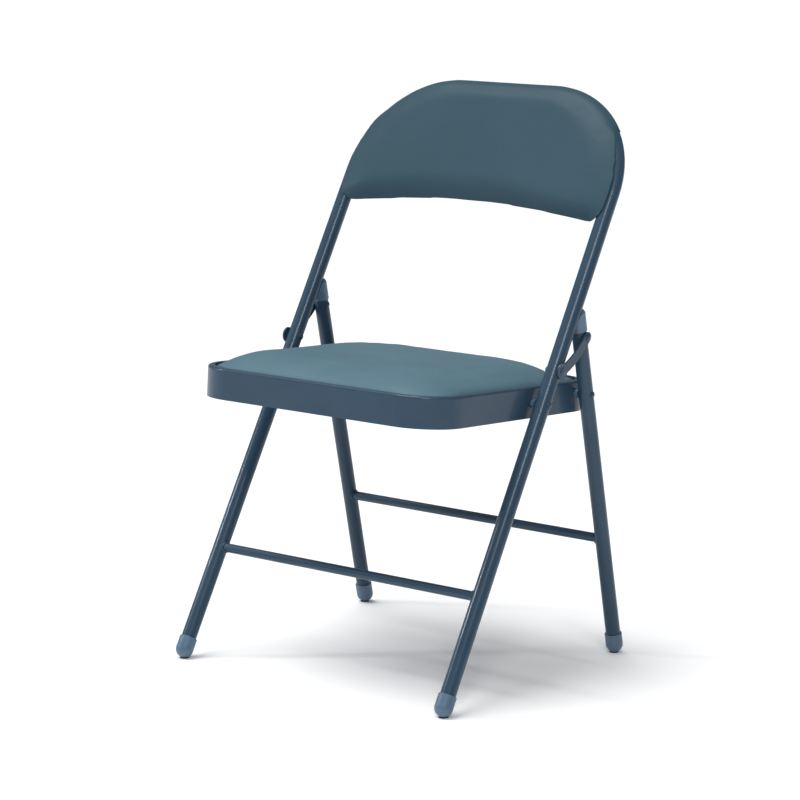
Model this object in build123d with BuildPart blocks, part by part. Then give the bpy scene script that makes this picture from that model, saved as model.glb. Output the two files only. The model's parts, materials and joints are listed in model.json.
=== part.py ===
"""Folding chair: bent-tube front frame that carries the back, seat, rear legs and side links.

+Z is up and the sitter faces -Y, so the sitter's left side is +X. The origin is on the floor, in
the middle of the chair's outline. The seat turns on the front tube, the rear legs turn on the
seat, and a flat link on each side ties the top of the rear leg to the front tube.
"""

import os
from math import cos, radians, sin, sqrt, tan

from build123d import *

os.makedirs("parts", exist_ok=True)

# ------------------------------------------------------------------ driving sizes (mm, degrees)
TUBE_SPACING = 440.0  # across the chair, between the centre lines of the uprights
FRONT_TUBE_D = 21.0
REAR_TUBE_D = 20.5
TUBE_WALL = 1.2
BAR_D = 12.7
BAR_WALL = 1.0
FRONT_LEAN = 30.0  # the front tube leans back from the vertical
REAR_LEAN = 14.0  # the rear legs lean forward
FOOT_SPREAD = 418.0  # between the lines of the front tube and the rear leg, on the floor
BACK_RUN = 888.0  # along the front tube, from the floor to the centre line of its top run
BACK_CORNER_R = 140.0
FRONT_BAR_Z = 143.5
REAR_BAR_Z = 169.5

# pivots; a "run" is a length along a leg, measured from the floor
SEAT_PIVOT_Z = 379.0  # seat on the front tube
REAR_PIVOT_Z = 379.0  # rear leg on the seat
LINK_PIVOT_Z = 421.5  # link on the front tube
LINK_REACH = 84.0  # along the rear leg, from its seat pivot up to the link
LEG_TOP = 98.0  # along the rear leg, from its seat pivot up to the tube's end

# seat
SEAT_W = 408.0
SEAT_SLOPE = 3.2  # the seat falls towards the back
SEAT_FRONT_REACH = 223.5  # from the front pivot to the front skirt
SEAT_REAR_REACH = 152.0  # from the front pivot to the rear skirt
SEAT_FRONT_R = 62.0
SEAT_REAR_R = 48.0
RIM_RISE = 22.0  # rim above the front pivot
SKIRT_H = 42.0
SHEET = 1.2  # pressed steel
RIM_W = 9.0
RIM_R = 3.5
TRAY_DEPTH = 7.0
SIDE_PLATE_T = 2.5
SIDE_PLATE_LOW = -16.0  # edges of the plate, below and above the front pivot
SIDE_PLATE_HIGH = 12.0
SIDE_PLATE_END = 18.0  # the plate runs on past each pivot
SEAT_BOARD_T = 6.0
CUSHION_RISE = 24.0  # top of the cushion above the rim
CUSHION_GAP = 1.0  # between the cushion and the rim of the tray
CUSHION_WRAP = 4.0  # foam and cover round the edge of the board
CUSHION_EDGE_R = 18.0

# back
PANEL_DOWN = 177.0  # from the top run's centre line down to the panel's lower corners
PANEL_ARCH = 19.0  # the lower edge rises this much in the middle
PANEL_HOLLOW = 10.0  # and curves back this much
PANEL_CORNER_R = 20.0
PANEL_HEM = 7.0
BACK_BOARD_T = 5.0
BOARD_MARGIN = 4.0  # board inside the panel's edge
PAD_FRONT = 24.0  # face of the pad, in front of the tube's centre plane
PAD_DROP = 13.0  # pad below the panel's lower edge
PAD_OVER_TOP = 11.5  # pad above the top run's centre line
SLEEVE_T = 2.0  # cover turned over the top run
SLEEVE_DOWN = 50.0  # from the top run down to where the cover leaves the tube

# feet, caps, rivets and screws
FOOT_WALL = 1.8
FOOT_LENGTH = 17.0  # straight part of a foot, above its ball
GLIDE_D = 12.5
GLIDE_T = 2.0
CAP_WALL = 1.2
CAP_COVER = 6.0  # the cap covers this much of the tube
CAP_DOME = 8.0
CAP_RISE = 27.0  # top of the cap above the tube's end
CAP_SADDLE = 6.0  # the cap stops this far behind the front tube's centre plane
EDGE = 0.8  # small edge breaks
PIVOT_D = 6.0
RIVET_HEAD_D = 9.0
RIVET_HEAD_H = 2.2
HEAD_RIM = 0.3  # share of a head's height that is its straight edge
SPACER_D = 12.5
LINK_T = 2.5
LINK_LOW_R = 11.0
LINK_HIGH_R = 7.0
LINK_ARM_W = 13.5
LINK_BOW = 4.0  # the arm is bowed down this much
LINK_HEAD_D = 11.0
LINK_HEAD_H = 0.9
SHOULDER_D = 9.0
SCREW_D = 4.0
SCREW_HEAD_D = 8.0
SCREW_HEAD_H = 2.2
SCREW_BITE = 4.0  # screw in the board
SEAT_SCREW_X = 130.0
SEAT_SCREWS_Y = (-150.0, -20.0, 100.0)  # from the front pivot, along the seat
BACK_SCREW_X = 130.0
BACK_SCREWS_DOWN = (136.0, 46.0)  # from the top run

# clearances
TURN = 0.05  # radial, a rivet in a piece that turns on it
FIT = 0.02  # radial, pieces fixed together
LAYER = 0.1  # between stacked pieces of one body
SIDE_GAP = 0.3  # endways, between pieces that turn against each other
SADDLE_GAP = 0.4  # rear cap behind the front tube
BED_GAP = 0.3  # pad round the tube that it lies on
WELD_BITE = 0.4  # panel's edge in the wall of the tube

# ------------------------------------------------------------------ worked out from the above
HALF = TUBE_SPACING / 2
FRONT_R = FRONT_TUBE_D / 2
REAR_R = REAR_TUBE_D / 2
PIVOT_R = PIVOT_D / 2
HEAD_R = RIVET_HEAD_D / 2
FAR = 2 * BACK_RUN  # longer than anything that is cut
sin_front, cos_front = sin(radians(FRONT_LEAN)), cos(radians(FRONT_LEAN))
sin_rear, cos_rear = sin(radians(REAR_LEAN)), cos(radians(REAR_LEAN))
sin_seat, cos_seat = sin(radians(SEAT_SLOPE)), cos(radians(SEAT_SLOPE))

# The front skirt is the foremost point and the top run the rearmost; the origin is between them.
pivot_back = SEAT_PIVOT_Z * tan(radians(FRONT_LEAN))
outline_front = pivot_back - SEAT_FRONT_REACH * cos_seat + (RIM_RISE - RIM_R) * sin_seat
outline_back = BACK_RUN * sin_front + FRONT_R
front_y = -(outline_front + outline_back) / 2
rear_y = front_y + FOOT_SPREAD

# Planes of the front frame and of the rear legs: X across, Y up along the tubes, Z forward.
front_plane = Plane(origin=(0, front_y, 0), x_dir=(1, 0, 0), z_dir=(0, -cos_front, sin_front))
rear_plane = Plane(origin=(0, rear_y, 0), x_dir=(1, 0, 0), z_dir=(0, -cos_rear, -sin_rear))

seat_pivot = (front_y + pivot_back, SEAT_PIVOT_Z)
link_pivot = (front_y + LINK_PIVOT_Z * tan(radians(FRONT_LEAN)), LINK_PIVOT_Z)
rear_pivot = (rear_y - REAR_PIVOT_Z * tan(radians(REAR_LEAN)), REAR_PIVOT_Z)
link_end = (rear_pivot[0] - LINK_REACH * sin_rear, rear_pivot[1] + LINK_REACH * cos_rear)
leg_end = REAR_PIVOT_Z / cos_rear + LEG_TOP

# The seat's plane goes through the front pivot: X across, Y back along the seat, Z up from it.
seat_plane = Plane(
    origin=(0, seat_pivot[0], seat_pivot[1]), x_dir=(1, 0, 0), z_dir=(0, sin_seat, cos_seat)
)
rear_pivot_in_seat = seat_plane.to_local_coords(Vector(0, *rear_pivot))

skirt_in = SEAT_W / 2 - SHEET
plate_in = skirt_in - SIDE_PLATE_T
link_in = HALF + max(FRONT_R, REAR_R + CAP_WALL) + SIDE_GAP
link_out = link_in + LINK_T
tray_floor = RIM_RISE - TRAY_DEPTH
skirt_low = RIM_RISE - SKIRT_H
panel_low = BACK_RUN - PANEL_DOWN
back_screw_runs = [BACK_RUN - down for down in BACK_SCREWS_DOWN]


def foot_run(tube_r, lean_cos):
    """Run of the centre of a foot's ball, which rests on its glide."""
    return (GLIDE_T + sqrt((tube_r + FOOT_WALL) ** 2 - (GLIDE_D / 2) ** 2)) / lean_cos


front_foot_run = foot_run(FRONT_R, cos_front)
rear_foot_run = foot_run(REAR_R, cos_rear)

# ------------------------------------------------------------------ helpers


def save(piece, name):
    """Label a finished piece and write it."""
    piece.part.label = name
    export_step(piece.part, "parts/" + name + ".step")


def across(point):
    """Turns +Z to point across the chair, at a (y, z) point of its middle plane."""
    return Location((0, point[0], point[1]), (0, 90, 0))


def bore_across(points, radius):
    """Bore the open part right across the chair."""
    with Locations(*[across(point) for point in points]):
        Cylinder(radius, FAR, mode=Mode.SUBTRACT)


def end_plane(plane, x, run):
    """Plane square to a leg, at x across and run up its tube."""
    return Plane(origin=plane.from_local_coords((x, run, 0)), x_dir=(1, 0, 0), z_dir=plane.y_dir)


def clear_tube(plane, x, radius):
    """Cut the open part back to the outside of a straight tube."""
    with BuildSketch(end_plane(plane, x, 0)) as tube:
        Circle(radius)
    extrude(tube.sketch, amount=FAR, mode=Mode.SUBTRACT)


def axis_plane(point):
    """Plane for the half section of a piece round a pivot: X along the pivot, Y out from it."""
    return Plane(origin=(0, point[0], point[1]), x_dir=(1, 0, 0), z_dir=(0, -1, 0))


def turn_round(point):
    """Revolve the half sections round the pivot at point."""
    revolve(axis=Axis((0, point[0], point[1]), (1, 0, 0)))


def head(face, height, radius, sink=0):
    """Half section of a domed head; it rises from face and goes back from it by sink."""
    foot = face - sink if height > 0 else face + sink
    rim = face + height * HEAD_RIM
    with BuildLine() as outline:
        dome = TangentArc((face + height, 0), (rim, radius), tangent=(0, 1))
        Polyline(dome @ 1, (foot, radius), (foot, 0), dome @ 0)
    make_face(outline.edges())


def shank(low, high, radius):
    """Half section of a plain shank from low to high."""
    with Locations(((low + high) / 2, radius / 2)):
        Rectangle(high - low, radius)


# ------------------------------------------------------------------ front frame
with BuildPart() as main_frame_tube:
    with BuildLine(front_plane) as frame_line:
        FilletPolyline(
            (HALF, front_foot_run),
            (HALF, BACK_RUN),
            (-HALF, BACK_RUN),
            (-HALF, front_foot_run),
            radius=BACK_CORNER_R,
        )
    with BuildSketch(end_plane(front_plane, HALF, front_foot_run)):
        Circle(FRONT_R)
        Circle(FRONT_R - TUBE_WALL, mode=Mode.SUBTRACT)
    sweep()
    bore_across([seat_pivot, link_pivot], PIVOT_R + FIT)
save(main_frame_tube, "main_frame_tube")


def crossbar(plane, run, tube_r):
    """A tube across the chair, its ends shaped to the legs it is welded to."""
    with BuildPart() as bar:
        with BuildSketch(Plane(origin=plane.from_local_coords((0, run, 0)), z_dir=(1, 0, 0))):
            Circle(BAR_D / 2)
            Circle(BAR_D / 2 - BAR_WALL, mode=Mode.SUBTRACT)
        extrude(amount=HALF, both=True)
        for side in (1, -1):
            clear_tube(plane, side * HALF, tube_r)
    return bar


save(crossbar(front_plane, FRONT_BAR_Z / cos_front, FRONT_R), "front_crossbar")


# ------------------------------------------------------------------ feet
def leg_foot(plane, side, tube_r, run):
    """A plastic foot: a sleeve on the end of the tube, closed by a ball cut flat for the glide."""
    ball_r = tube_r + FOOT_WALL
    bore_r = tube_r + FIT
    centre = plane.from_local_coords((side * HALF, run, 0))
    with BuildPart() as piece:
        with BuildSketch(Plane(origin=centre, x_dir=(1, 0, 0), z_dir=plane.z_dir)):
            with BuildLine():
                Polyline(
                    (0, -ball_r),
                    (0, 0),
                    (bore_r, 0),
                    (bore_r, FOOT_LENGTH),
                    (ball_r - EDGE, FOOT_LENGTH),
                    (ball_r, FOOT_LENGTH - EDGE),
                    (ball_r, 0),
                )
                TangentArc((0, -ball_r), (ball_r, 0), tangent=(1, 0))
            make_face()
        revolve(axis=Axis(centre, plane.y_dir))
        with BuildSketch(Plane.XY.offset(GLIDE_T)):
            with Locations((centre.X, centre.Y)):
                Circle(2 * ball_r)
        extrude(amount=-2 * ball_r, mode=Mode.SUBTRACT)
    return piece


def glides(plane, run):
    """The pair of round pads that two feet stand on."""
    with BuildPart() as pads:
        for side in (1, -1):
            centre = plane.from_local_coords((side * HALF, run, 0))
            with BuildSketch():
                with Locations((centre.X, centre.Y)):
                    Circle(GLIDE_D / 2)
            extrude(amount=GLIDE_T)
    return pads


for side, hand in ((1, "left"), (-1, "right")):
    save(leg_foot(front_plane, side, FRONT_R, front_foot_run), "front_foot_" + hand)
    save(leg_foot(rear_plane, side, REAR_R, rear_foot_run), "rear_foot_" + hand)
save(glides(front_plane, front_foot_run), "front_glides")
save(glides(rear_plane, rear_foot_run), "rear_glides")

# ------------------------------------------------------------------ rear legs
with BuildPart() as rear_leg:
    with BuildSketch(end_plane(rear_plane, HALF, rear_foot_run)):
        Circle(REAR_R)
        Circle(REAR_R - TUBE_WALL, mode=Mode.SUBTRACT)
    extrude(amount=leg_end - rear_foot_run)
    bore_across([rear_pivot, link_end], PIVOT_R + FIT)
save(rear_leg, "rear_leg_left")

with BuildPart() as rear_leg_right:
    add(rear_leg.part.mirror(Plane.YZ))
save(rear_leg_right, "rear_leg_right")

save(crossbar(rear_plane, REAR_BAR_Z / cos_rear, REAR_R), "rear_crossbar")


def leg_cap(side):
    """The cap on top of a rear leg, hollowed at the front where it rests against the frame."""
    cap_r = REAR_R + CAP_WALL
    base = rear_plane.from_local_coords((side * HALF, leg_end, 0))
    with BuildPart() as cap:
        with BuildSketch(Plane(origin=base, x_dir=(1, 0, 0), z_dir=rear_plane.z_dir)):
            with BuildLine():
                dome = TangentArc((0, CAP_RISE), (cap_r, CAP_RISE - CAP_DOME), tangent=(1, 0))
                Polyline(
                    dome @ 1,
                    (cap_r, -CAP_COVER),
                    (REAR_R + FIT, -CAP_COVER),
                    (REAR_R + FIT, LAYER),
                    (0, LAYER),
                    dome @ 0,
                )
            make_face()
        revolve(axis=Axis(base, rear_plane.y_dir))
        split(bisect_by=front_plane.offset(-CAP_SADDLE), keep=Keep.BOTTOM)
        clear_tube(front_plane, side * HALF, FRONT_R + SADDLE_GAP)
    return cap


for side, hand in ((1, "left"), (-1, "right")):
    save(leg_cap(side), "rear_leg_cap_" + hand)

# ------------------------------------------------------------------ pivots
# Rivets through the front tube and the seat: a head on the tube, a head inside the seat.
with BuildPart() as seat_pivot_rivets:
    with BuildSketch(axis_plane(seat_pivot)):
        head(HALF + FRONT_R, RIVET_HEAD_H, HEAD_R, FRONT_R / 2)
    turn_round(seat_pivot)
    clear_tube(front_plane, HALF, FRONT_R)
    with BuildSketch(axis_plane(seat_pivot)):
        shank(plate_in - SIDE_GAP, HALF + FRONT_R, PIVOT_R)
        head(plate_in - SIDE_GAP, -RIVET_HEAD_H, HEAD_R)
    turn_round(seat_pivot)
    mirror(about=Plane.YZ)
save(seat_pivot_rivets, "seat_pivot_rivets")

with BuildPart() as rear_pivot_rivets:
    with BuildSketch(axis_plane(rear_pivot)):
        head(HALF + REAR_R, RIVET_HEAD_H, HEAD_R, REAR_R / 2)
    turn_round(rear_pivot)
    clear_tube(rear_plane, HALF, REAR_R)
    with BuildSketch(axis_plane(rear_pivot)):
        shank(plate_in - SIDE_GAP, HALF + REAR_R, PIVOT_R)
        head(plate_in - SIDE_GAP, -RIVET_HEAD_H, HEAD_R)
    turn_round(rear_pivot)
    mirror(about=Plane.YZ)
save(rear_pivot_rivets, "rear_pivot_rivets")

# Shouldered rivets that carry the links on the front tube, with low heads that the chair's
# neighbours slide past.
with BuildPart() as link_pivot_rivets:
    with BuildSketch(axis_plane(link_pivot)):
        shank(HALF, link_in - SIDE_GAP, SHOULDER_D / 2)
        head(HALF - FRONT_R, -RIVET_HEAD_H, HEAD_R, FRONT_R / 2)
    turn_round(link_pivot)
    clear_tube(front_plane, HALF, FRONT_R)
    with BuildSketch(axis_plane(link_pivot)):
        shank(HALF - FRONT_R, link_out + SIDE_GAP, PIVOT_R)
        head(link_out + SIDE_GAP, LINK_HEAD_H, LINK_HEAD_D / 2)
    turn_round(link_pivot)
    mirror(about=Plane.YZ)
save(link_pivot_rivets, "link_pivot_rivets")

# Shouldered studs in the rear legs; the links' own rivets stand on their outer ends.
with BuildPart() as rear_link_studs:
    with BuildSketch(axis_plane(link_end)):
        shank(HALF, link_in - SIDE_GAP, SHOULDER_D / 2)
        head(HALF - REAR_R, -RIVET_HEAD_H, HEAD_R, REAR_R / 2)
    turn_round(link_end)
    clear_tube(rear_plane, HALF, REAR_R)
    with BuildSketch(axis_plane(link_end)):
        shank(HALF - REAR_R, link_in - SIDE_GAP, PIVOT_R)
    turn_round(link_end)
    mirror(about=Plane.YZ)
save(rear_link_studs, "rear_link_studs")


def side_link(side):
    """The flat link between the front tube and the top of a rear leg."""
    middle = (
        (link_pivot[0] + link_end[0]) / 2 + LINK_BOW * sin_front,
        (link_pivot[1] + link_end[1]) / 2 - LINK_BOW * cos_front,
    )
    with BuildPart() as link:
        with BuildSketch(Plane.YZ.offset(side * link_in)):
            with BuildLine(mode=Mode.PRIVATE) as arm:
                ThreePointArc(link_pivot, middle, link_end)
            SlotArc(arc=arm.edges()[0], height=LINK_ARM_W)
            with Locations(link_pivot):
                Circle(LINK_LOW_R)
            with Locations(link_end):
                Circle(LINK_HIGH_R)
            with Locations(link_pivot):
                Circle(PIVOT_R + TURN, mode=Mode.SUBTRACT)
            with Locations(link_end):
                Circle(PIVOT_R + FIT, mode=Mode.SUBTRACT)
        extrude(amount=side * LINK_T)
    return link


def link_rivet(side):
    """The rivet in the upper end of a link."""
    with BuildPart() as rivet:
        with BuildSketch(axis_plane(link_end)):
            shank(link_in, link_out, PIVOT_R)
            head(link_out, RIVET_HEAD_H, LINK_HEAD_D / 2)
        turn_round(link_end)
    if side < 0:
        with BuildPart() as rivet_right:
            add(rivet.part.mirror(Plane.YZ))
        return rivet_right
    return rivet


for side, hand in ((1, "left"), (-1, "right")):
    save(side_link(side), "side_link_" + hand)
    save(link_rivet(side), "link_rivet_" + hand)

# ------------------------------------------------------------------ seat
seat_length = SEAT_FRONT_REACH + SEAT_REAR_REACH
seat_middle = (SEAT_REAR_REACH - SEAT_FRONT_REACH) / 2


def seat_outline(inset, rise):
    """The seat's outline, drawn in by inset, at a height above the front pivot."""
    with BuildSketch(seat_plane.offset(rise)) as outline:
        with Locations((0, seat_middle)):
            Rectangle(SEAT_W - 2 * inset, seat_length - 2 * inset)
        fillet(outline.vertices().group_by(Axis.Y)[0], SEAT_FRONT_R - inset)
        fillet(outline.vertices().group_by(Axis.Y)[-1], SEAT_REAR_R - inset)
    return outline.sketch


def top_edges(part, rise):
    """Edges of the open part in the plane at a height above the front pivot."""
    plane = seat_plane.offset(rise)
    return part.edges().filter_by(lambda edge: abs(plane.to_local_coords(edge @ 0.5).Z) < LAYER)


with BuildPart() as room_under_seat:
    extrude(seat_outline(SHEET, skirt_low - SHEET), amount=SKIRT_H)
    fillet(top_edges(room_under_seat, RIM_RISE - SHEET), RIM_R - SHEET)
    extrude(seat_outline(RIM_W - SHEET, tray_floor - SHEET), amount=SKIRT_H, mode=Mode.SUBTRACT)

with BuildPart() as seat_pan:
    extrude(seat_outline(0, skirt_low), amount=SKIRT_H)
    fillet(top_edges(seat_pan, RIM_RISE), RIM_R)
    extrude(seat_outline(RIM_W, tray_floor), amount=SKIRT_H, mode=Mode.SUBTRACT)
    add(room_under_seat.part, mode=Mode.SUBTRACT)
    bore_across([seat_pivot, rear_pivot], PIVOT_R + TURN)
    with BuildSketch(seat_plane):
        for y in SEAT_SCREWS_Y:
            with Locations((SEAT_SCREW_X, y), (-SEAT_SCREW_X, y)):
                Circle(SCREW_D / 2 + FIT)
    extrude(amount=RIM_RISE, mode=Mode.SUBTRACT)
save(seat_pan, "seat_pan")


def side_plate(side):
    """Plate inside the skirt that takes both pivots of one side."""
    plane = Plane(origin=seat_plane.origin, x_dir=seat_plane.y_dir, z_dir=(1, 0, 0))
    low_end, high_end = -SIDE_PLATE_END, rear_pivot_in_seat.Y + SIDE_PLATE_END
    with BuildPart() as plate:
        with BuildSketch(plane.offset(side * plate_in)):
            with Locations(((low_end + high_end) / 2, (SIDE_PLATE_LOW + SIDE_PLATE_HIGH) / 2)):
                Rectangle(high_end - low_end, SIDE_PLATE_HIGH - SIDE_PLATE_LOW)
        extrude(amount=side * SIDE_PLATE_T)
        extrude(seat_outline(SHEET, skirt_low), amount=SKIRT_H, mode=Mode.INTERSECT)
        bore_across([seat_pivot, rear_pivot], PIVOT_R + TURN)
    return plate


for side, hand in ((1, "left"), (-1, "right")):
    save(side_plate(side), "seat_side_plate_" + hand)


def spacers(point, tube_r):
    """The pair of rings that keep the seat's skirt off the tubes at one pivot."""
    ring_out = HALF - tube_r - SIDE_GAP
    with BuildPart() as rings:
        with BuildSketch(Plane.YZ.offset(SEAT_W / 2)):
            with Locations(point):
                Circle(SPACER_D / 2)
                Circle(PIVOT_R + TURN, mode=Mode.SUBTRACT)
        extrude(amount=ring_out - SEAT_W / 2)
        mirror(about=Plane.YZ)
    return rings


save(spacers(seat_pivot, FRONT_R), "seat_pivot_spacers")
save(spacers(rear_pivot, REAR_R), "rear_pivot_spacers")

board_inset = RIM_W + CUSHION_GAP + CUSHION_WRAP
board_low = tray_floor + LAYER
with BuildPart() as seat_board:
    extrude(seat_outline(board_inset, board_low), amount=SEAT_BOARD_T)
    with BuildSketch(seat_plane.offset(board_low)):
        for y in SEAT_SCREWS_Y:
            with Locations((SEAT_SCREW_X, y), (-SEAT_SCREW_X, y)):
                Circle(SCREW_D / 2 + FIT)
    extrude(amount=SCREW_BITE + LAYER, mode=Mode.SUBTRACT)
save(seat_board, "seat_board")

# The cushion's cover is drawn down round the edge of the board.
with BuildPart() as seat_cushion:
    extrude(
        seat_outline(RIM_W + CUSHION_GAP, board_low),
        amount=RIM_RISE + CUSHION_RISE - board_low,
    )
    fillet(top_edges(seat_cushion, RIM_RISE + CUSHION_RISE), CUSHION_EDGE_R)
    extrude(
        seat_outline(board_inset - FIT, board_low),
        amount=SEAT_BOARD_T + LAYER,
        mode=Mode.SUBTRACT,
    )
save(seat_cushion, "seat_cushion")


def screw(plane, x, y, low, high):
    """A pan-head screw square to a plane; its head is below low and its point is at high."""
    base = plane.from_local_coords((x, y, low))
    with BuildSketch(Plane(origin=base, x_dir=plane.z_dir, z_dir=plane.x_dir)) as section:
        head(0, -SCREW_HEAD_H, SCREW_HEAD_D / 2)
        shank(0, high - low, SCREW_D / 2)
    revolve(section.sketch, axis=Axis(base, plane.z_dir))


with BuildPart() as seat_screws:
    for y in SEAT_SCREWS_Y:
        for x in (SEAT_SCREW_X, -SEAT_SCREW_X):
            screw(seat_plane, x, y, tray_floor - SHEET, board_low + SCREW_BITE)
save(seat_screws, "seat_screws")

# ------------------------------------------------------------------ back
# Layers of the back follow one surface: straight at the top run, hollow at the lower edge.
layer_half = HALF + BAR_D
hollow_low = panel_low - 2 * PANEL_CORNER_R
hollow_high = BACK_RUN + 2 * PAD_OVER_TOP


def hollow(run):
    """How far the surface curves back in the middle of the chair."""
    return SHEET / 2 + (PANEL_HOLLOW - SHEET / 2) * (hollow_high - run) / (hollow_high - hollow_low)


def back_layer(rear, front):
    """A layer of the back between two distances in front of the tube's centre plane."""
    sections = []
    for run in (hollow_low, hollow_high):
        with BuildSketch(end_plane(front_plane, 0, run)) as section:
            with BuildLine():
                ThreePointArc((-layer_half, -rear), (0, hollow(run) - rear), (layer_half, -rear))
                Line((layer_half, -rear), (layer_half, -front))
                ThreePointArc((layer_half, -front), (0, hollow(run) - front), (-layer_half, -front))
                Line((-layer_half, -front), (-layer_half, -rear))
            make_face()
        sections.append(section.sketch)
    loft(sections, ruled=True)


def trim_back(half, low, top, corner_r, low_r, mode=Mode.INTERSECT):
    """Trim the open part to an outline: arched lower edge, large upper corners."""
    with BuildSketch(front_plane.offset(-BACK_CORNER_R)) as outline:
        with BuildLine():
            FilletPolyline((half, low), (half, top), (-half, top), (-half, low), radius=corner_r)
            ThreePointArc((-half, low), (0, low + PANEL_ARCH), (half, low))
        make_face()
        fillet(outline.vertices().group_by(Axis.Y)[0], low_r)
    extrude(outline.sketch, amount=2 * BACK_CORNER_R, mode=mode)


panel_half = HALF - FRONT_R + WELD_BITE
panel_top = BACK_RUN - FRONT_R + WELD_BITE
panel_corner = BACK_CORNER_R - FRONT_R + WELD_BITE
with BuildPart() as behind_panel:
    back_layer(-2 * PANEL_HEM, -SHEET)
    trim_back(panel_half + SHEET, panel_low + SHEET, panel_top + SHEET, panel_corner, PANEL_CORNER_R)

with BuildPart() as backrest_panel:
    back_layer(-PANEL_HEM, 0)
    trim_back(panel_half, panel_low, panel_top, panel_corner, PANEL_CORNER_R)
    add(behind_panel.part, mode=Mode.SUBTRACT)
    with BuildSketch(front_plane.offset(-BACK_CORNER_R)):
        for run in back_screw_runs:
            with Locations((BACK_SCREW_X, run), (-BACK_SCREW_X, run)):
                Circle(SCREW_D / 2 + FIT)
    extrude(amount=BACK_CORNER_R, mode=Mode.SUBTRACT)
save(backrest_panel, "backrest_panel")

board_half = HALF - FRONT_R - BOARD_MARGIN
board_front = LAYER + BACK_BOARD_T
with BuildPart() as backrest_board:
    back_layer(LAYER, board_front)
    trim_back(
        board_half,
        panel_low + BOARD_MARGIN,
        BACK_RUN - FRONT_R - BOARD_MARGIN,
        BACK_CORNER_R - FRONT_R - BOARD_MARGIN,
        PANEL_CORNER_R,
    )
    for run in back_screw_runs:
        face = LAYER - hollow(run) * (1 - (BACK_SCREW_X / layer_half) ** 2)
        with BuildSketch(front_plane.offset(face - BACK_BOARD_T)):
            with Locations((BACK_SCREW_X, run), (-BACK_SCREW_X, run)):
                Circle(SCREW_D / 2 + FIT)
        extrude(amount=BACK_BOARD_T + SCREW_BITE, mode=Mode.SUBTRACT)
save(backrest_board, "backrest_board")

with BuildPart() as backrest_screws:
    for run in back_screw_runs:
        face = LAYER - hollow(run) * (1 - (BACK_SCREW_X / layer_half) ** 2)
        for x in (BACK_SCREW_X, -BACK_SCREW_X):
            screw(front_plane, x, run, face - SHEET - 3 * LAYER, face + SCREW_BITE - LAYER)
save(backrest_screws, "backrest_screws")

# The pad lies on the tube; its cover is turned over the top run and ends behind it.
with BuildPart() as tube_bed:
    with BuildSketch(end_plane(front_plane, HALF, front_foot_run)):
        Circle(FRONT_R + BED_GAP)
    sweep(path=frame_line.wires()[0])

with BuildPart() as cover_sleeve:
    with BuildSketch(end_plane(front_plane, HALF, front_foot_run)):
        Circle(FRONT_R + BED_GAP + SLEEVE_T)
    sweep(path=frame_line.wires()[0])
    split(bisect_by=end_plane(front_plane, 0, BACK_RUN - SLEEVE_DOWN), keep=Keep.TOP)

with BuildPart() as backrest_pad:
    back_layer(board_front + LAYER, PAD_FRONT)
    trim_back(
        HALF + LAYER,
        panel_low - PAD_DROP,
        BACK_RUN + PAD_OVER_TOP,
        BACK_CORNER_R,
        PANEL_CORNER_R,
    )
    add(cover_sleeve.part)
    with BuildSketch(front_plane.offset(board_front + LAYER)):
        with BuildLine():
            loop = FilletPolyline(
                (HALF, panel_low),
                (HALF, BACK_RUN),
                (-HALF, BACK_RUN),
                (-HALF, panel_low),
                radius=BACK_CORNER_R,
            )
            Line(loop @ 1, loop @ 0)
        make_face()
    extrude(amount=-BACK_CORNER_R, mode=Mode.SUBTRACT)
    add(tube_bed.part, mode=Mode.SUBTRACT)
save(backrest_pad, "backrest_pad")
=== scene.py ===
"""Looks of the folding chair: cover, paint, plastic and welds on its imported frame."""

import json
import math

import bmesh
import bpy
import numpy as np
from mathutils import Matrix, Vector


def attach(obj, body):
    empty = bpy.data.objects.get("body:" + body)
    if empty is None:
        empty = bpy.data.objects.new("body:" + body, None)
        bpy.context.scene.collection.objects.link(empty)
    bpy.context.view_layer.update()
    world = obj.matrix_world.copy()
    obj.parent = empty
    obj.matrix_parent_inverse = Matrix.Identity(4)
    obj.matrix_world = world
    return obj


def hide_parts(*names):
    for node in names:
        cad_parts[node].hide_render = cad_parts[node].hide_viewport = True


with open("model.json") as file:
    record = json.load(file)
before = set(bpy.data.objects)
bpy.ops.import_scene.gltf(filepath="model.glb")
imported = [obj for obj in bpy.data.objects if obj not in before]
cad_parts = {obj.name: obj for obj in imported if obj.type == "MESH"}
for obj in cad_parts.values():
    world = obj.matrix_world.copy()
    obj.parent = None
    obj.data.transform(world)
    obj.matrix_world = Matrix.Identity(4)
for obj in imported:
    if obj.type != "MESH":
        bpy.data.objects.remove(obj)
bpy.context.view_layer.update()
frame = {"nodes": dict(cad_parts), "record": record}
NODES = frame["nodes"]

MM = 0.001

# ------------------------------------------------------------------ sizes shared with the model
HALF = 220 * MM  # middle of the chair to the centre line of each upright
FRONT_R = 10.5 * MM  # front tube, outside
REAR_R = 10.25 * MM  # rear legs, outside
BAR_R = 6.35 * MM  # crossbars, outside
BACK_RUN = 888 * MM  # along the front tube, from the floor to its top run
BACK_CORNER_R = 140 * MM
SLEEVE_LOW = 838 * MM  # along the front tube, to where the cover leaves it
FRONT_LEAN = math.radians(30)
REAR_LEAN = math.radians(14)
SEAT_SLOPE = math.radians(3.2)
FRONT_BAR_Z = 143.5 * MM
REAR_BAR_Z = 169.5 * MM
FEET_APART = 418 * MM  # front to rear
SEAT_PIVOT = Vector((0, -6.7827 * MM, 379 * MM))
front_y = SEAT_PIVOT.y - SEAT_PIVOT.z * math.tan(FRONT_LEAN)
rear_y = front_y + FEET_APART


def leg_axes(lean, y, side):
    """Matrix of a leg's own axes: X across the chair, Y up the tube, Z towards the front."""
    up = Vector((0, side * math.sin(lean), math.cos(lean)))
    across = Vector((1, 0, 0))
    axes = Matrix((across, up, across.cross(up))).transposed().to_4x4()
    return Matrix.Translation((0, y, 0)) @ axes


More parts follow.
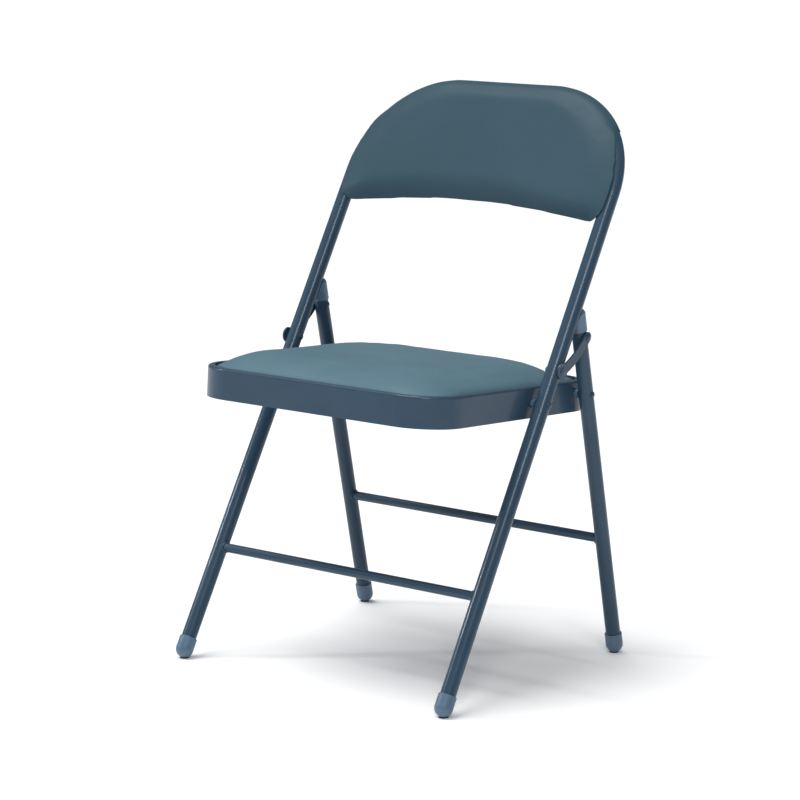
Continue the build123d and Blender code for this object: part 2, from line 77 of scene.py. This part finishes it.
FRONT_AXES = leg_axes(FRONT_LEAN, front_y, 1)
REAR_AXES = leg_axes(REAR_LEAN, rear_y, -1)
SEAT_AXES = Matrix.Translation(SEAT_PIVOT) @ Matrix.Rotation(-SEAT_SLOPE, 4, "X")

# ------------------------------------------------------------------ finishes
NOISE, RAMP, SPREAD, BUMP = (
    "ShaderNodeTexNoise",
    "ShaderNodeValToRGB",
    "ShaderNodeMapRange",
    "ShaderNodeBump",
)


def srgb(code):
    """Linear RGBA of an sRGB hex colour."""
    parts = [int(code[i : i + 2], 16) / 255 for i in (1, 3, 5)]
    return [c / 12.92 if c <= 0.04045 else ((c + 0.055) / 1.055) ** 2.4 for c in parts] + [1]


def feed(tree, node, links):
    """Join a node's sockets to the outputs that feed them."""
    for name, output in links.items():
        tree.links.new(output, node.inputs[name])


def add(tree, kind, settings=None, links=None):
    """Add a node: settings fill its properties and sockets, links feed its sockets.

    The setting "stops" holds the (position, hex colour) stops of a ramp.
    """
    node = tree.nodes.new(kind)
    for name, value in (settings or {}).items():
        if name == "stops":
            for element, (position, code) in zip(node.color_ramp.elements, value):
                element.position = position
                element.color = srgb(code)
        elif isinstance(name, str) and hasattr(node, name):
            setattr(node, name, value)
        else:
            node.inputs[name].default_value = value
    feed(tree, node, links or {})
    return node


def finish_of(name, **settings):
    """A new material with its shader set, its node tree and its object coordinates."""
    material = bpy.data.materials.new(name)
    material.use_nodes = True
    tree = material.node_tree
    shader = tree.nodes["Principled BSDF"]
    for socket, value in settings.items():
        shader.inputs[socket.replace("_", " ")].default_value = value
    place = add(tree, "ShaderNodeTexCoord").outputs["Object"]
    return material, tree, shader, place


# Powder-coated steel: a baked polyester powder. It flows to a soft gloss with a faint orange peel
# some 2 mm across, and pales a little where handling has polished it.
powder_coat, tree, shader, place = finish_of(
    "powder_coated_steel", IOR=1.5, Specular_IOR_Level=0.2, Coat_Weight=0.15, Coat_Roughness=0.06
)
peel_width, handled_width = 2.2 * MM, 60 * MM
peel = add(tree, NOISE, {"Scale": 1 / peel_width, "Detail": 1.5}, {"Vector": place})
handling = add(tree, NOISE, {"Scale": 1 / handled_width, "Detail": 3.0}, {"Vector": place})
handling = handling.outputs["Fac"]
colour = add(tree, RAMP, {"stops": [(0.3, "#2b4153"), (0.7, "#314759")]}, {"Fac": handling})
polish = add(tree, SPREAD, {"To Min": 0.36, "To Max": 0.26}, {"Value": handling})
relief = add(tree, BUMP, {"Strength": 0.08, "Distance": 0.1 * MM}, {"Height": peel.outputs["Fac"]})
feed(
    tree,
    shader,
    {
        "Base Color": colour.outputs["Color"],
        "Roughness": polish.outputs["Result"],
        "Normal": relief.outputs["Normal"],
    },
)


def vinyl(name, shade, light):
    """Upholstery vinyl: PVC on knitted cloth, embossed on a roller with a fine leather grain.

    Low rounded cells some 1.3 mm across break up the shine, and the valleys are painted a little
    darker, as painted shade in the grain.
    """
    cell_width, pore_width, warp_width, wear_width = 1.3 * MM, 0.5 * MM, 4 * MM, 90 * MM
    warp_reach = 0.9 * MM
    material, tree, shader, place = finish_of(
        name, IOR=1.5, Sheen_Weight=0.03, Sheen_Roughness=0.4, Specular_IOR_Level=0.18
    )
    warp = add(tree, NOISE, {"Scale": 1 / warp_width, "Detail": 2.0}, {"Vector": place})
    bent = add(
        tree,
        "ShaderNodeVectorMath",
        {"operation": "MULTIPLY_ADD", 1: (warp_reach, warp_reach, warp_reach)},
        {0: warp.outputs["Color"], 2: place},
    ).outputs["Vector"]
    cells = add(
        tree,
        "ShaderNodeTexVoronoi",
        {"feature": "SMOOTH_F1", "Scale": 1 / cell_width, "Smoothness": 0.35},
        {"Vector": bent},
    ).outputs["Distance"]
    pores = add(tree, NOISE, {"Scale": 1 / pore_width, "Detail": 2.0}, {"Vector": bent})
    wear = add(tree, NOISE, {"Scale": 1 / wear_width, "Detail": 4.0}, {"Vector": place})
    wear = wear.outputs["Fac"]
    # Colour tone: real wear that varies at random, with painted shade darkening the grain's
    # valleys.
    tone = add(
        tree, "ShaderNodeMath", {"operation": "MULTIPLY_ADD", 1: -0.35}, {0: cells, 2: wear}
    ).outputs["Value"]
    colour = add(tree, RAMP, {"stops": [(0.15, shade), (0.6, light)]}, {"Fac": tone})
    polish = add(tree, SPREAD, {"To Min": 0.58, "To Max": 0.46}, {"Value": wear})
    height = add(
        tree,
        "ShaderNodeMath",
        {"operation": "MULTIPLY_ADD", 1: 0.25},
        {0: pores.outputs["Fac"], 2: cells},
    ).outputs["Value"]
    relief = add(
        tree,
        BUMP,
        {"Strength": 0.35, "Distance": 0.12 * MM, "invert": True},
        {"Height": height},
    )
    feed(
        tree,
        shader,
        {
            "Base Color": colour.outputs["Color"],
            "Roughness": polish.outputs["Result"],
            "Normal": relief.outputs["Normal"],
        },
    )
    return material


# One vinyl in two copies: the seat's is painted lighter, as painted light on its top, and the
# back's darker, as painted shade.
back_vinyl = vinyl("painted_shade_back_vinyl", "#2d4753", "#314b57")
seat_vinyl = vinyl("painted_light_seat_vinyl", "#4c6875", "#52707d")

# Moulded polypropylene: paler and bluer than the paint, with the even matt skin that a
# spark-eroded mould leaves. Its 0.3 mm grain is drawn at 0.8 mm so that it shows.
moulded_plastic, tree, shader, place = finish_of("moulded_polypropylene", IOR=1.49)
grit_width, flow_width = 0.8 * MM, 25 * MM
grit = add(tree, NOISE, {"Scale": 1 / grit_width, "Detail": 2.0}, {"Vector": place})
flow = add(tree, NOISE, {"Scale": 1 / flow_width, "Detail": 2.0}, {"Vector": place})
flow = flow.outputs["Fac"]
colour = add(tree, RAMP, {"stops": [(0.35, "#4a6379"), (0.7, "#536d83")]}, {"Fac": flow})
polish = add(tree, SPREAD, {"To Min": 0.44, "To Max": 0.36}, {"Value": flow})
relief = add(tree, BUMP, {"Strength": 0.25, "Distance": 0.06 * MM}, {"Height": grit.outputs["Fac"]})
feed(
    tree,
    shader,
    {
        "Base Color": colour.outputs["Color"],
        "Roughness": polish.outputs["Result"],
        "Normal": relief.outputs["Normal"],
    },
)


def speckled(name, width, detail, stops, rough, bump=None, **settings):
    """A finish with one speckle: its colour, its shine and, given a bump, its relief follow it."""
    material, tree, shader, place = finish_of(name, **settings)
    speckle = add(tree, NOISE, {"Scale": 1 / width, "Detail": detail}, {"Vector": place})
    speckle = speckle.outputs["Fac"]
    colour = add(tree, RAMP, {"stops": stops}, {"Fac": speckle})
    polish = add(tree, SPREAD, {"To Min": rough[0], "To Max": rough[1]}, {"Value": speckle})
    links = {"Base Color": colour.outputs["Color"], "Roughness": polish.outputs["Result"]}
    if bump:
        strength, depth = bump
        relief = add(tree, BUMP, {"Strength": strength, "Distance": depth}, {"Height": speckle})
        links["Normal"] = relief.outputs["Normal"]
    feed(tree, shader, links)
    return material, shader


# Moulded rubber: near black and matt, greyed by dust in its low spots, some 1.5 mm apart.
rubber_stops = [(0.35, "#15171a"), (0.75, "#2a2d31")]
glide_rubber, _ = speckled(
    "moulded_black_rubber", 1.5 * MM, 4.0, rubber_stops, (0.62, 0.8), (0.2, 0.1 * MM), IOR=1.52
)

# Zinc-plated steel: a thin bright electroplate, clouded every 3 mm or so, over a cold-formed head.
zinc_stops = [(0.3, "#9a9ea3"), (0.75, "#c3c6c8")]
zinc_plate, _ = speckled("zinc_plated_steel", 3 * MM, 4.0, zinc_stops, (0.24, 0.4), Metallic=1.0)

# Tempered hardboard: wood fibre pressed with oil, dark brown and speckled, its fibres some
# 2.5 mm long.
board_stops = [(0.3, "#3a2b1e"), (0.7, "#503d2b")]
hardboard, _ = speckled(
    "tempered_hardboard", 2.5 * MM, 6.0, board_stops, (0.7, 0.85), (0.4, 0.15 * MM), IOR=1.5
)

FINISHES = {
    "frame_paint": powder_coat,
    "rivet_paint": powder_coat,
    "rivet_steel": powder_coat,
    "screw_steel": zinc_plate,
    "seat_vinyl": seat_vinyl,
    "back_vinyl": back_vinyl,
    "board": hardboard,
    "foot_plastic": moulded_plastic,
    "glide_rubber": glide_rubber,
}
for entry in frame["record"]["subparts"]:
    mesh = NODES[entry["node"]].data
    mesh.materials.clear()
    mesh.materials.append(FINISHES[entry["material_slot"]])

# ------------------------------------------------------------------ new pieces
WELD_RIPPLE = 0.12  # a bead's swelling, as a share of its thickness
MERGE = 0.01 * MM


def place_piece(name, mesh, body, slot):
    """Show a finished mesh as a piece that rides on a body, with its slot's material."""
    mesh.materials.clear()
    mesh.materials.append(FINISHES[slot])
    piece = bpy.data.objects.new(name, mesh)
    bpy.context.scene.collection.objects.link(piece)
    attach(piece, body)
    return piece


def to_mesh(name, work, smooth=True):
    """Close a bmesh into a mesh with its normals outwards."""
    bmesh.ops.recalc_face_normals(work, faces=work.faces)
    mesh = bpy.data.meshes.new(name)
    work.to_mesh(mesh)
    work.free()
    if smooth:
        mesh.polygons.foreach_set("use_smooth", [True] * len(mesh.polygons))
    return mesh


def crossbar_welds(name, body, axes, lean, height, tube_r):
    """The ring of weld round both ends of a crossbar, saddled on the legs."""
    bead_r, stand_off, ripples = 1.7 * MM, 0.2 * MM, 13
    middle = axes @ Vector((0, height / math.cos(lean), 0))
    on_leg = Matrix.Translation(middle) @ axes.to_3x3().to_4x4()
    work = bmesh.new()
    for side in (1, -1):
        ring = bmesh.new()
        bmesh.ops.create_circle(ring, segments=10, radius=bead_r)
        bmesh.ops.translate(ring, verts=ring.verts, vec=(0, BAR_R + stand_off, 0))
        bmesh.ops.spin(
            ring,
            geom=ring.verts[:] + ring.edges[:],
            axis=(1, 0, 0),
            cent=(0, 0, 0),
            angle=math.tau,
            steps=40,
            use_merge=True,
        )
        for vertex in ring.verts:
            turn = math.atan2(vertex.co.z, vertex.co.y)
            vertex.co.x *= 1 + WELD_RIPPLE * math.sin(ripples * turn)
            off_axis = BAR_R * math.sin(turn)
            vertex.co.x += HALF - math.sqrt(tube_r**2 - off_axis**2)
            vertex.co.x *= side
        bmesh.ops.transform(ring, matrix=on_leg, verts=ring.verts)
        end = bpy.data.meshes.new(name + "_end")
        ring.to_mesh(end)
        ring.free()
        work.from_mesh(end)
        bpy.data.meshes.remove(end)
    return place_piece(name, to_mesh(name, work), body, "frame_paint")


crossbar_welds("front_crossbar_welds", "front_frame", FRONT_AXES, FRONT_LEAN, FRONT_BAR_Z, FRONT_R)
crossbar_welds("rear_crossbar_welds", "rear_legs", REAR_AXES, REAR_LEAN, REAR_BAR_Z, REAR_R)


def panel_welds():
    """Short welds that hold the back panel to the tube, seen from behind."""
    side_weld_run = 726 * MM
    corner_turns = (22, 68)
    half_length, half_width, half_rise = 11 * MM, 1.9 * MM, 1.6 * MM
    behind, ripples = 2.2 * MM, 9
    corner_middle = Vector((HALF - BACK_CORNER_R, BACK_RUN - BACK_CORNER_R, 0))
    spots = [
        (Vector((HALF - FRONT_R, side_weld_run, 0)), 90),
        (Vector((0, BACK_RUN - FRONT_R, 0)), 0),
    ]
    for turn in corner_turns:
        out = Vector((math.cos(math.radians(turn)), math.sin(math.radians(turn)), 0))
        spots.append((corner_middle + (BACK_CORNER_R - FRONT_R) * out, turn + 90))
    spots += [(Vector((-spot.x, spot.y, 0)), -turn) for spot, turn in spots if spot.x > 0]
    work = bmesh.new()
    for spot, turn in spots:
        bead = bmesh.ops.create_icosphere(work, subdivisions=3, radius=1.0)["verts"]
        for vertex in bead:
            vertex.co.y *= 1 + WELD_RIPPLE * math.sin(ripples * vertex.co.x)
        bmesh.ops.scale(work, vec=(half_length, half_width, half_rise), verts=bead)
        bmesh.ops.rotate(
            work, matrix=Matrix.Rotation(math.radians(turn), 3, "Z"), cent=(0, 0, 0), verts=bead
        )
        bmesh.ops.translate(work, vec=spot + Vector((0, 0, -behind)), verts=bead)
    bmesh.ops.transform(work, matrix=FRONT_AXES, verts=work.verts)
    return place_piece("panel_welds", to_mesh("panel_welds", work), "front_frame", "frame_paint")


panel_welds()

# ------------------------------------------------------------------ padding
STRETCH = 18  # how hard the cover resists being stretched or pressed together
SETTLING = 20  # frames until the foam has filled it


def coordinates(mesh):
    """The mesh's vertices as an array."""
    points = np.zeros(len(mesh.vertices) * 3)
    mesh.vertices.foreach_get("co", points)
    return points.reshape(-1, 3)


def put_back(mesh, points):
    """Give the mesh's vertices their new places."""
    mesh.vertices.foreach_set("co", points.ravel())
    mesh.update()


def moved(points, matrix):
    """Points moved by a matrix."""
    turn = np.array(matrix.to_3x3())
    return points @ turn.T + np.array(matrix.translation)


def blank_of(name, mesh):
    """An object that holds a mesh while its modifiers work."""
    blank = bpy.data.objects.new(name, mesh)
    bpy.context.scene.collection.objects.link(blank)
    return blank


def baked(blank, name):
    """The mesh of an object with its modifiers applied; the object goes."""
    graph = bpy.context.evaluated_depsgraph_get()
    mesh = bpy.data.meshes.new_from_object(blank.evaluated_get(graph))
    mesh.name = name
    bpy.data.objects.remove(blank)
    return mesh


def remeshed(name, sources, voxel):
    """One closed skin round some meshes, in even small faces."""
    work = bmesh.new()
    for mesh in sources:
        work.from_mesh(mesh)
    bmesh.ops.remove_doubles(work, verts=work.verts, dist=MERGE)
    mesh = bpy.data.meshes.new(name)
    work.to_mesh(mesh)
    work.free()
    blank = blank_of(name + "_blank", mesh)
    skin = blank.modifiers.new("skin", "REMESH")
    skin.mode = "VOXEL"
    skin.voxel_size = voxel
    skin.adaptivity = 0
    return baked(blank, name)


def smoothed(mesh, rounds, held=None):
    """Even out the skin; held vertices stay."""
    work = bmesh.new()
    work.from_mesh(mesh)
    work.verts.ensure_lookup_table()
    free = [v for v in work.verts if held is None or not held[v.index]]
    for _ in range(rounds):
        bmesh.ops.smooth_vert(
            work, verts=free, factor=0.5, use_axis_x=True, use_axis_y=True, use_axis_z=True
        )
    work.to_mesh(mesh)
    work.free()
    return mesh


def puffed(mesh, held, pressure, limit):
    """Blow the cover up against its own stretch, as foam does, and keep each point near home."""
    home = coordinates(mesh)
    blank = blank_of("padding", mesh)
    pinned = blank.vertex_groups.new(name="held")
    pinned.add([int(i) for i in np.flatnonzero(held)], 1.0, "REPLACE")
    cloth = blank.modifiers.new("cover", "CLOTH")
    cloth.settings.quality = 6
    cloth.settings.mass = 0.35
    cloth.settings.tension_stiffness = STRETCH
    cloth.settings.compression_stiffness = STRETCH
    cloth.settings.bending_stiffness = 2
    cloth.settings.use_pressure = True
    cloth.settings.uniform_pressure_force = pressure
    cloth.settings.effector_weights.gravity = 0
    cloth.settings.vertex_group_mass = "held"
    cloth.collision_settings.use_collision = False
    scene = bpy.context.scene
    scene.frame_start, scene.frame_end = 1, SETTLING
    for step in range(1, SETTLING + 1):
        scene.frame_set(step)
    result = baked(blank, mesh.name)
    scene.frame_set(1)
    shift = coordinates(result) - home
    length = np.maximum(np.linalg.norm(shift, axis=1, keepdims=True), 1e-9)
    put_back(result, home + shift * np.minimum(1, limit / length))
    return result


def divided(mesh):
    """The skin with one round of subdivision."""
    blank = blank_of("divided", mesh)
    finer = blank.modifiers.new("finer", "SUBSURF")
    finer.levels = finer.render_levels = 1
    result = baked(blank, mesh.name)
    result.polygons.foreach_set("use_smooth", [True] * len(result.polygons))
    return result


def rounded_inset(x, y, half_x, half_y, radius):
    """Depth of a point inside a rectangle with round corners."""
    over_x = np.abs(x) - half_x + radius
    over_y = np.abs(y) - half_y + radius
    outside = np.hypot(np.maximum(over_x, 0), np.maximum(over_y, 0))
    return radius - outside - np.minimum(np.maximum(over_x, over_y), 0)


def share(distance, reach):
    """How much of a reach a distance covers, from 0 to 1."""
    return np.clip(distance / reach, 0, 1)


def rise(distance, reach, power=2):
    """Height of a rounded shoulder, from 0 to 1, at a distance in from its foot."""
    return 1 - (1 - share(distance, reach)) ** power


def seat_cushion():
    """Foam under vinyl: crowned in the middle and drawn down to the rim of the pan all round."""
    half, front, rear = 194 * MM, -213.5 * MM, 142 * MM
    rim, low = 22 * MM, 15.1 * MM  # top of the pan's rim and underside of the foam
    blank_height = 31 * MM  # the model's plain cushion, which is pressed to the new shape
    blanks = [NODES["seat_cushion"].data, NODES["seat_board"].data]
    mesh = remeshed("seat_cushion_skin", blanks, 4.5 * MM)
    x, y, z = moved(coordinates(mesh), SEAT_AXES.inverted()).T
    middle = (front + rear) / 2

    def inset(front_r, rear_r):
        radius = np.where(y < middle, front_r, rear_r)
        return np.maximum(rounded_inset(x, y - middle, half, (rear - front) / 2, radius), 0)

    depth = inset(52 * MM, 38 * MM)
    inward = inset(80 * MM, 110 * MM)
    height = (rim - low) * 0.6 + rise(depth, 5 * MM) * ((rim - low) * 0.4 + 2 * MM)
    height += 15.5 * MM * rise(inward, 42 * MM, 1.45) + 3.5 * MM * rise(inward, 150 * MM)
    z = np.where(z > low + 1 * MM, low + (z - low) / blank_height * height, z)
    held = z < rim - 2 * MM
    put_back(mesh, moved(np.stack([x, y, z], axis=1), SEAT_AXES))
    mesh = smoothed(mesh, 6, held)
    mesh = puffed(mesh, held | (depth < 8 * MM), 1.2, 1.2 * MM)
    mesh = divided(smoothed(mesh, 4, held))
    piece = place_piece("seat_cushion_cover", mesh, "seat", "seat_vinyl")
    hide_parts("seat_cushion")
    return piece


seat_cushion()

# Sizes of the back pad, in the front tube's axes: x across, s up the tube, z towards the front.
PAD_HALF = 220.1 * MM
PAD_LOW, PAD_TOP = 698 * MM, 899.5 * MM
PAD_ARCH = 19 * MM  # how far the lower edge rises in the middle
PAD_BED = 5.2 * MM  # face of the panel under the foam, where it is not hollow
PAD_FIELD = 17.3 * MM  # from there to the middle of the cover
PAD_BLANK_FACE = 24 * MM  # face of the model's plain pad
PAD_LIP = 4.5 * MM  # thickness at the edge
SLEEVE_R = 12.5 * MM  # cover round the tube
SNAP = 3 * MM  # skin this near to an outline is drawn onto it


def top_run_core():
    """A rod along the top of the frame, where the cover is turned over the tube."""
    corner = Vector((HALF - BACK_CORNER_R, BACK_RUN - BACK_CORNER_R, 0))
    begin = math.asin((SLEEVE_LOW - corner.y) / BACK_CORNER_R)
    work = bmesh.new()
    bmesh.ops.create_circle(work, segments=32, radius=SLEEVE_R)
    bmesh.ops.rotate(
        work, matrix=Matrix.Rotation(math.pi / 2, 3, "X"), cent=(0, 0, 0), verts=work.verts
    )
    # The ring stands square to the arc where the cover leaves the tube.
    bmesh.ops.translate(work, verts=work.verts, vec=(HALF, corner.y, 0))
    bmesh.ops.rotate(
        work, matrix=Matrix.Rotation(begin, 3, "Z"), cent=corner, verts=work.verts
    )
    arc = bmesh.ops.spin(
        work,
        geom=work.edges[:],
        cent=corner,
        axis=(0, 0, 1),
        angle=math.pi / 2 - begin,
        steps=16,
    )
    last = [g for g in arc["geom_last"] if isinstance(g, bmesh.types.BMEdge)]
    run = bmesh.ops.extrude_edge_only(work, edges=last)
    middle_ring = [g for g in run["geom"] if isinstance(g, bmesh.types.BMVert)]
    bmesh.ops.translate(work, verts=middle_ring, vec=(-corner.x, 0, 0))
    bmesh.ops.mirror(
        work, geom=work.verts[:] + work.edges[:] + work.faces[:], axis="X", merge_dist=MERGE
    )
    bmesh.ops.remove_doubles(work, verts=work.verts, dist=MERGE)
    bmesh.ops.holes_fill(work, edges=[e for e in work.edges if e.is_boundary], sides=0)
    bmesh.ops.transform(work, matrix=FRONT_AXES, verts=work.verts)
    return to_mesh("top_run_core", work)


def panel_hollow(x, s):
    """How far the panel curves back: most in the middle of its lower edge, least at the top."""
    least, gain = 0.6 * MM, 9.4 * MM
    straight_run, fall = 911 * MM, 248 * MM
    half_chord = 232.7 * MM
    return (least + gain * (straight_run - s) / fall) * (1 - (x / half_chord) ** 2)


def back_inset(x, s, half, top):
    """Depth of a point inside the back's outline, whose sides run on down past the pad."""
    below = 600 * MM
    return rounded_inset(x, s - (top + below) / 2, half, (top - below) / 2, BACK_CORNER_R)


def clean_sides(x, s):
    """Draw the pad's outline clean below the sleeve.

    The new points come back with their depth in from the outline and from the tube's middle.
    """
    sides = back_inset(x, s, PAD_HALF, PAD_TOP)
    tube = back_inset(x, s, HALF, BACK_RUN)
    stray = np.where((sides < SNAP) & (s < SLEEVE_LOW), sides, 0)
    step = stray / (BACK_CORNER_R - sides)
    x = x + np.sign(x) * step * np.maximum(np.abs(x) - PAD_HALF + BACK_CORNER_R, 0)
    s = s + step * np.maximum(s - PAD_TOP + BACK_CORNER_R, 0)
    return x, s, sides - stray, tube - stray


def round_tube(radius, tube):
    """Height of a round of this radius above the tube's middle, at a depth in from it."""
    return np.sqrt(np.maximum(radius**2 - tube**2, 0))


def cover_height(s, sides, floor, tube):
    """Height of the cover above the panel: a rolled lip, a shoulder and a level field."""
    near_side = (1 - share(sides, 34 * MM)) ** 2
    near_floor = (1 - share(floor, 22 * MM)) ** 2
    shoulder = 1 - np.clip(np.hypot(near_side, near_floor), 0, 1)
    # Beside the tube's middle line the foam rests on the tube and the edge rolls over it.
    on_tube = round_tube(FRONT_R, tube)
    over_tube = np.where(on_tube > 0, on_tube + 3.2 * MM - PAD_BED, 0) * rise(floor, 4 * MM)
    depth = np.maximum(np.minimum(sides, floor), 0)
    lip = np.maximum(PAD_LIP * rise(depth, 4 * MM), over_tube)
    height = lip + (PAD_FIELD - lip) * shoulder
    # From the sleeve's end upwards the cover is at least as full as the round over the tube.
    wrap = round_tube(SLEEVE_R, np.minimum(tube, 0)) + 1 * MM - PAD_BED
    return np.where(s > SLEEVE_LOW - 4 * MM, np.maximum(height, wrap), height)


def rolled_sides(x, s, sides, tube, lift):
    """Bulge the pad's side out past the tube, more towards the sleeve and not at its back."""
    taper = (1 - share(SLEEVE_LOW - s, 60 * MM)) ** 2
    bulge = np.maximum(5 * MM + 4.5 * MM * taper + tube - sides, 0)
    bulge = bulge * (1 - share(sides, 20 * MM))
    bulge = np.where(s < SLEEVE_LOW, bulge * np.clip(3 * lift, 0, 1), 0)
    out_x = np.maximum(np.abs(x) - HALF + BACK_CORNER_R, 0)
    out_s = np.maximum(s - BACK_RUN + BACK_CORNER_R, 0)
    reach = np.hypot(out_x, out_s) + 1e-9
    return x + np.sign(x) * bulge * out_x / reach, s + bulge * out_s / reach


def back_pad():
    """Foam under vinyl on the back panel; the cover goes over the top run and ends behind it."""
    blanks = [NODES["backrest_pad"].data, top_run_core()]
    mesh = remeshed("back_pad_skin", blanks, 3.6 * MM)
    x, s, z = moved(coordinates(mesh), FRONT_AXES.inverted()).T
    # The arched lower edge is drawn clean first, and then the sides.
    arch_line = PAD_LOW + PAD_ARCH * (1 - (x / PAD_HALF) ** 2)
    s = np.where(s < arch_line + SNAP, arch_line, s)
    hollow = panel_hollow(x, s)
    x, s, sides, tube = clean_sides(x, s)
    floor = s - arch_line
    panel = PAD_BED - hollow
    face = panel + cover_height(s, sides, floor, tube)
    # Below the sleeve the underside steps over the tube; above it, the skin goes all round.
    stepped = np.maximum(round_tube(FRONT_R, tube) + 0.3 * MM - panel, 0)
    under = panel + share(SLEEVE_LOW - s, 15 * MM) * stepped
    lift = np.clip((z - under) / (PAD_BLANK_FACE - hollow - under), 0, 1)
    front = z > under + 0.5 * MM
    z = np.where(front, under + lift * np.maximum(face - under, 1 * MM), z)
    x, s = rolled_sides(x, s, sides, tube, lift)
    held = ~front | (floor < 2 * MM)
    put_back(mesh, moved(np.stack([x, s, z], axis=1), FRONT_AXES))
    mesh = smoothed(mesh, 5, held)
    mesh = puffed(mesh, held, 2.0, 1.5 * MM)
    mesh = divided(smoothed(mesh, 9))
    piece = place_piece("back_pad_cover", mesh, "front_frame", "back_vinyl")
    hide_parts("backrest_pad")
    return piece


back_pad()

# ------------------------------------------------------------------ studio
scene = bpy.context.scene
scene.view_settings.view_transform = "Standard"

FLOOR_REACH = 70  # metres from the middle to each side
work = bmesh.new()
bmesh.ops.create_grid(work, x_segments=1, y_segments=1, size=FLOOR_REACH)
floor = bpy.data.objects.new("studio_floor", to_mesh("studio_floor", work, smooth=False))
scene.collection.objects.link(floor)
# Opal acrylic sheet, lit faintly from below, so that it stays pale as far as it goes. Its tone
# drifts a little every third of a metre.
opal_stops = [(0.3, "#f1f2f3"), (0.7, "#f4f5f6")]
opal_floor, shader = speckled(
    "opal_acrylic_floor",
    1 / 3,
    2.0,
    opal_stops,
    (0.75, 0.8),
    Specular_IOR_Level=0.1,
    Emission_Strength=0.1,
)
shader.inputs["Emission Color"].default_value = srgb("#ffffff")
floor.data.materials.append(opal_floor)

world = bpy.data.worlds.new("studio")
scene.world = world
world.use_nodes = True
air = world.node_tree.nodes["Background"]
air.inputs["Color"].default_value = srgb("#f6f8fa")
air.inputs["Strength"].default_value = 0.2


def softbox(name, place, target, size, power):
    """A square area light."""
    light = bpy.data.lights.new(name, "AREA")
    light.shape = "SQUARE"
    light.size = size
    light.energy = power
    lamp = bpy.data.objects.new(name, light)
    scene.collection.objects.link(lamp)
    lamp.location = place
    lamp.rotation_euler = (Vector(target) - Vector(place)).to_track_quat("-Z", "Y").to_euler()


softbox("key", place=(-2.6, -1.6, 1.7), target=(0, 0, 0.45), size=0.25, power=22)
softbox("tube_light", place=(1.7, -1.7, 2.4), target=(0, 0, 0.5), size=0.9, power=34)

# A wide, even ceiling light: it keeps the floor pale as far as it goes.
ceiling = bpy.data.lights.new("ceiling", "SUN")
ceiling.energy = 2.9
ceiling.angle = math.radians(40)
lamp = bpy.data.objects.new("ceiling", ceiling)
scene.collection.objects.link(lamp)
lamp.rotation_euler = (math.radians(8), math.radians(-16), 0)

CAMERA_PLACE = (2.1761, -2.9568, 1.0192)
CAMERA_TURN, CAMERA_DIP, CAMERA_ROLL = 36.601, 10.219, 0.929
camera = bpy.data.objects.new("camera", bpy.data.cameras.new("camera"))
scene.collection.objects.link(camera)
scene.camera = camera
camera.data.sensor_width = 36
camera.data.lens = 122.52
camera.matrix_world = (
    Matrix.Translation(CAMERA_PLACE)
    @ Matrix.Rotation(math.radians(CAMERA_TURN), 4, "Z")
    @ Matrix.Rotation(math.radians(90 - CAMERA_DIP), 4, "X")
    @ Matrix.Rotation(math.radians(CAMERA_ROLL), 4, "Z")
)
